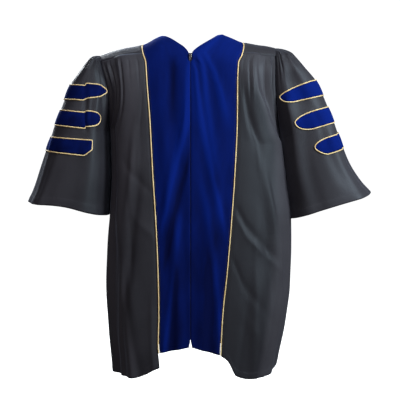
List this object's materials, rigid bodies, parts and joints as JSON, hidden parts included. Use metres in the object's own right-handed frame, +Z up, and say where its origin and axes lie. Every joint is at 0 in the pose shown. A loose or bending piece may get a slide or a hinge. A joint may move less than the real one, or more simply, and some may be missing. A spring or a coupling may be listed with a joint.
{
  "type": "graduation gown",
  "caption": "Black doctoral graduation gown with blue velvet bands down the front, three velvet bars on each bell sleeve, gold piping and a front zip, hanging as worn.",
  "frame": {"origin": "on the wearer's centre plane between the shoulders, level with the gown's shoulder seams, where the wearer's shoulders carry it", "axes": "+Z up, -Y to the front of the gown, +X to the right in a front view, which is the wearer's left"},
  "size_m": [1.1185, 0.3746, 1.1004],
  "materials": {
    "black_cloth": "matte worsted with a soft sheen",
    "blue_velvet": "short velvet pile",
    "gold_piping": "satin",
    "zip_tape": "matte",
    "zip_metal": "dark satin"
  },
  "bodies": {
    "gown": {"back_panel": "black_cloth", "yoke": "black_cloth", "front_left": "black_cloth", "front_right": "black_cloth", "sleeve_left": "black_cloth", "sleeve_right": "black_cloth", "velvet_neck": "blue_velvet", "velvet_left": "blue_velvet", "velvet_right": "blue_velvet", "bar_left_1": "blue_velvet", "bar_left_2": "blue_velvet", "bar_left_3": "blue_velvet", "bar_right_1": "blue_velvet", "bar_right_2": "blue_velvet", "bar_right_3": "blue_velvet", "piping_neck": "gold_piping", "piping_left": "gold_piping", "piping_right": "gold_piping", "piping_bar_left_1": "gold_piping", "piping_bar_left_2": "gold_piping", "piping_bar_left_3": "gold_piping", "piping_bar_right_1": "gold_piping", "piping_bar_right_2": "gold_piping", "piping_bar_right_3": "gold_piping", "zip_tape_left": "zip_tape", "zip_tape_right": "zip_tape", "zip_chain": "zip_tape", "zip_slider": "zip_metal"},
    "zip_pull": {"zip_pull": "zip_metal"}
  },
  "joints": [
    {"name": "pull_tab_hinge", "type": "hinge", "parent": "gown", "child": "zip_pull", "pos_m": [0, -0.12383, -0.0472], "axis": [-1, 0, 0], "range_deg": [0, 150]}
  ]
}
